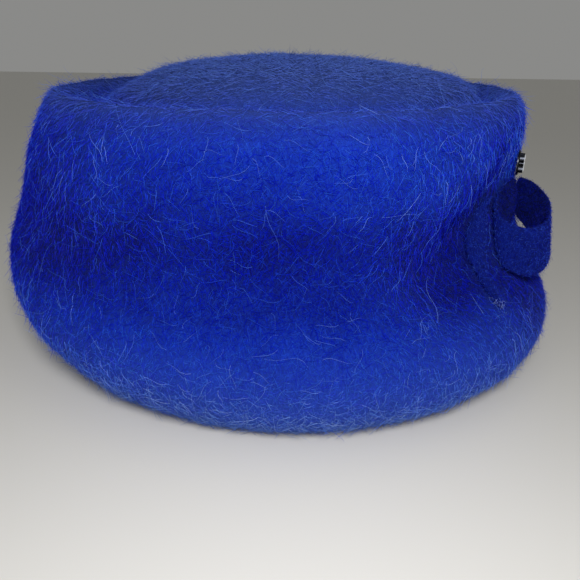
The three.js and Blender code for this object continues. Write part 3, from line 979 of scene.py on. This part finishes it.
@dataclass
class Bow:
    """Loop and tail of felt strip, with their short fuzz."""

    groomer: Groomer
    levels: int = 2
    ripple_mm: float = 0.18
    ripple_wave_mm: float = 7.0
    tip_high_mm: float = 46.5
    tip_fade_mm: float = 3.0
    comb_lean: float = 0.25
    # Painted shading value of the strips, and the darker painted shade on the loop's inner side
    tone: float = 0.55
    inner_tone: float = 0.0
    fuzz: Coat = Coat("fuzz", Strand.SPIKE, 300.0, (0.7, 2.0), 0.17, (8, 40), 120, 606)
    stray: Coat = Coat("stray", Strand.ARCHED, 20.0, (1.5, 3.4), 0.13, (12, 45), 120, 707)
    tuft: Coat = Coat("tail_tip_tuft", Strand.ARCHED, 300.0, (0.9, 2.2), 0.12, (8, 40), 60, 808, "tip")

    def build(self, node: str, name: str) -> bpy.types.Object:
        """Makes one strip's skin and stores where its fuzz grows.

        Args:
            node: Solid that gives the strip's shape.
            name: Name of the new piece.

        Returns:
            The skin.
        """
        skin = soft_copy(node, name, self.levels, self.ripple_mm, self.ripple_wave_mm)
        points, normals = points_and_normals(skin.data)
        set_attribute(skin.data, "nap", "FLOAT", np.ones(len(points)))
        # Painted shade: the loop's inner side, toward the wall, takes the darkest value
        inside = ((points.mean(0) - points) * [1, 1, 0] * normals).sum(1) > 0
        folded = node == "bow_loop"
        set_attribute(skin.data, "tone", "FLOAT", np.where(inside & folded, self.inner_tone, self.tone))
        # No painted sheen on the strips
        set_attribute(skin.data, "haze", "FLOAT", np.zeros(len(points)))
        tip = np.clip((self.tip_high_mm * MM - points[:, 2]) / (self.tip_fade_mm * MM), 0, 1)
        set_attribute(skin.data, "tip", "FLOAT", tip)
        comb = np.tile([self.comb_lean, 0.0, -1.0], (len(points), 1))
        set_attribute(skin.data, "comb", "FLOAT_VECTOR", laid_flat(comb, normals))
        return skin

    def dress(
        self, skin: bpy.types.Object, tree: bpy.types.GeometryNodeTree, pale_tip: bool,
    ) -> list[bpy.types.Object]:
        """Dyes a strip and grows its fuzz.

        Args:
            skin: The strip's skin.
            tree: The combing tree.
            pale_tip: Whether its cut end shows a pale tuft.

        Returns:
            The fuzz pieces.
        """
        dye(skin, STRIP_FELT.material())
        hair = STRIP_HAIR.material()
        made = []
        for coat in (self.fuzz, self.stray):
            own = replace(coat, name=f"{skin.name}_{coat.name}", seed=coat.seed + len(skin.name))
            made.append(self.groomer.grow(tree, skin, own, hair))
        if pale_tip:
            made.append(self.groomer.grow(tree, skin, self.tuft, PALE_HAIR.material()))
        return made


@dataclass
class StoneButton:
    """Plate with cups and the five stones in it."""

    plate: str = "button_setting"
    stone_start: str = "stone_"

    def dress(self) -> None:
        """Gives the plate and the stones their finishes."""
        metal = PLATE.material()
        glass = STONE.material()
        for name, node in frame["nodes"].items():
            if name == self.plate:
                dye(node, metal)
            elif name.startswith(self.stone_start):
                dye(node, glass)


@dataclass(frozen=True)
class Lamp:
    """Square soft lamp: where it stands, what it faces and its side, in metres, and its power in watts."""

    name: str
    place: tuple[float, float, float]
    aim: tuple[float, float, float]
    size: float
    watts: float

    def build(self) -> None:
        """Makes the lamp."""
        light = bpy.data.lights.new(self.name, "AREA")
        light.energy = self.watts
        light.size = self.size
        lamp = bpy.data.objects.new(self.name, light)
        lamp.location = self.place
        facing = Vector(self.aim) - Vector(self.place)
        lamp.rotation_euler = facing.to_track_quat("-Z", "Y").to_euler()
        bpy.context.scene.collection.objects.link(lamp)


@dataclass
class Studio:
    """Pale floor, soft light and the camera."""

    floor_half: float = 3.0
    floor_colour: str = "D8D6D0"
    floor_roughness: float = 0.8
    room_colour: str = "CCCCCA"
    room_strength: float = 0.42
    lamps: tuple[Lamp, ...] = (
        Lamp("front", (0.015, -0.32, 0.21), (0.0, 0.0, 0.06), 0.07, 0.92),
        Lamp("above", (-0.3, -0.6, 0.9), (0.0, 0.0, 0.1), 0.5, 0.3),
    )
    camera_mm: tuple[float, float, float] = (3.98, -282.17, 131.17)
    down_deg: float = 22.54
    roll_deg: float = 0.83
    focal_px: float = 581.0
    frame_px: float = 580.0
    sensor_mm: float = 36.0
    near_mm: float = 5.0

    def build(self) -> None:
        """Makes the floor, the lights and the camera."""
        # The plain transform keeps the dye as saturated as it is
        bpy.context.scene.view_settings.view_transform = "Standard"
        self.floor()
        self.room()
        for lamp in self.lamps:
            lamp.build()
        self.camera()

    def floor(self) -> None:
        """Makes the pale paper that the hat rests on."""
        half = self.floor_half
        corners = [(-half, -half, 0), (half, -half, 0), (half, half, 0), (-half, half, 0)]
        mesh = bpy.data.meshes.new("floor")
        mesh.from_pydata(corners, [], [(0, 1, 2, 3)])
        floor = bpy.data.objects.new("floor", mesh)
        bpy.context.scene.collection.objects.link(floor)
        paper = {"Base Color": linear(self.floor_colour), "Roughness": self.floor_roughness}
        dye(floor, new_material("pale_paper", paper)[0])

    def room(self) -> None:
        """Makes the even grey light from all round."""
        world = bpy.data.worlds.new("soft_room")
        world.use_nodes = True
        background = world.node_tree.nodes["Background"]
        background.inputs["Color"].default_value = linear(self.room_colour)
        background.inputs["Strength"].default_value = self.room_strength
        bpy.context.scene.world = world

    def camera(self) -> None:
        """Sets the camera where the photograph was taken from."""
        view = bpy.data.cameras.new("view")
        view.lens = self.focal_px * self.sensor_mm / self.frame_px
        view.sensor_width = self.sensor_mm
        view.clip_start = self.near_mm * MM
        camera = bpy.data.objects.new("view", view)
        bpy.context.scene.collection.objects.link(camera)
        place = Matrix.Translation(Vector(self.camera_mm) * MM)
        tilt = Matrix.Rotation(math.radians(90 - self.down_deg), 4, "X")
        roll = Matrix.Rotation(math.radians(self.roll_deg), 4, "Z")
        camera.matrix_world = place @ tilt @ roll
        bpy.context.scene.camera = camera


def settle(piece: bpy.types.Object, slot: str) -> None:
    """Fixes a piece to the hat and logs the material slot that it goes with.

    Args:
        piece: The piece.
        slot: The record's material slot.
    """
    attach(piece, "root")
    LOG.info("%s rides on root as %s", piece.name, slot)


def main() -> None:
    """Builds the hat's looks in order."""
    logging.basicConfig(level=logging.INFO, format="%(name)s: %(message)s")
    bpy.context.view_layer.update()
    Studio().build()
    kit = StrandKit()
    groomer = Groomer(kit)
    tree = groomer.tree()
    body = HatBody(groomer)
    bow = Bow(groomer)
    loop = bow.build("bow_loop", "felt_loop")
    tail = bow.build("bow_tail", "felt_tail")
    skin = body.build([loop, tail])
    coats = body.dress(skin, tree)
    fuzz = bow.dress(loop, tree, False) + bow.dress(tail, tree, True)
    kit.clear()
    StoneButton().dress()
    settle(skin, "long_haired_felt")
    for coat in coats:
        settle(coat, "long_haired_felt")
    for piece in (loop, tail, *fuzz):
        settle(piece, "trim_felt")
    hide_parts("hat_body")
    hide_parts("bow_loop")
    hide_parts("bow_tail")


if __name__ == "__main__":
    main()
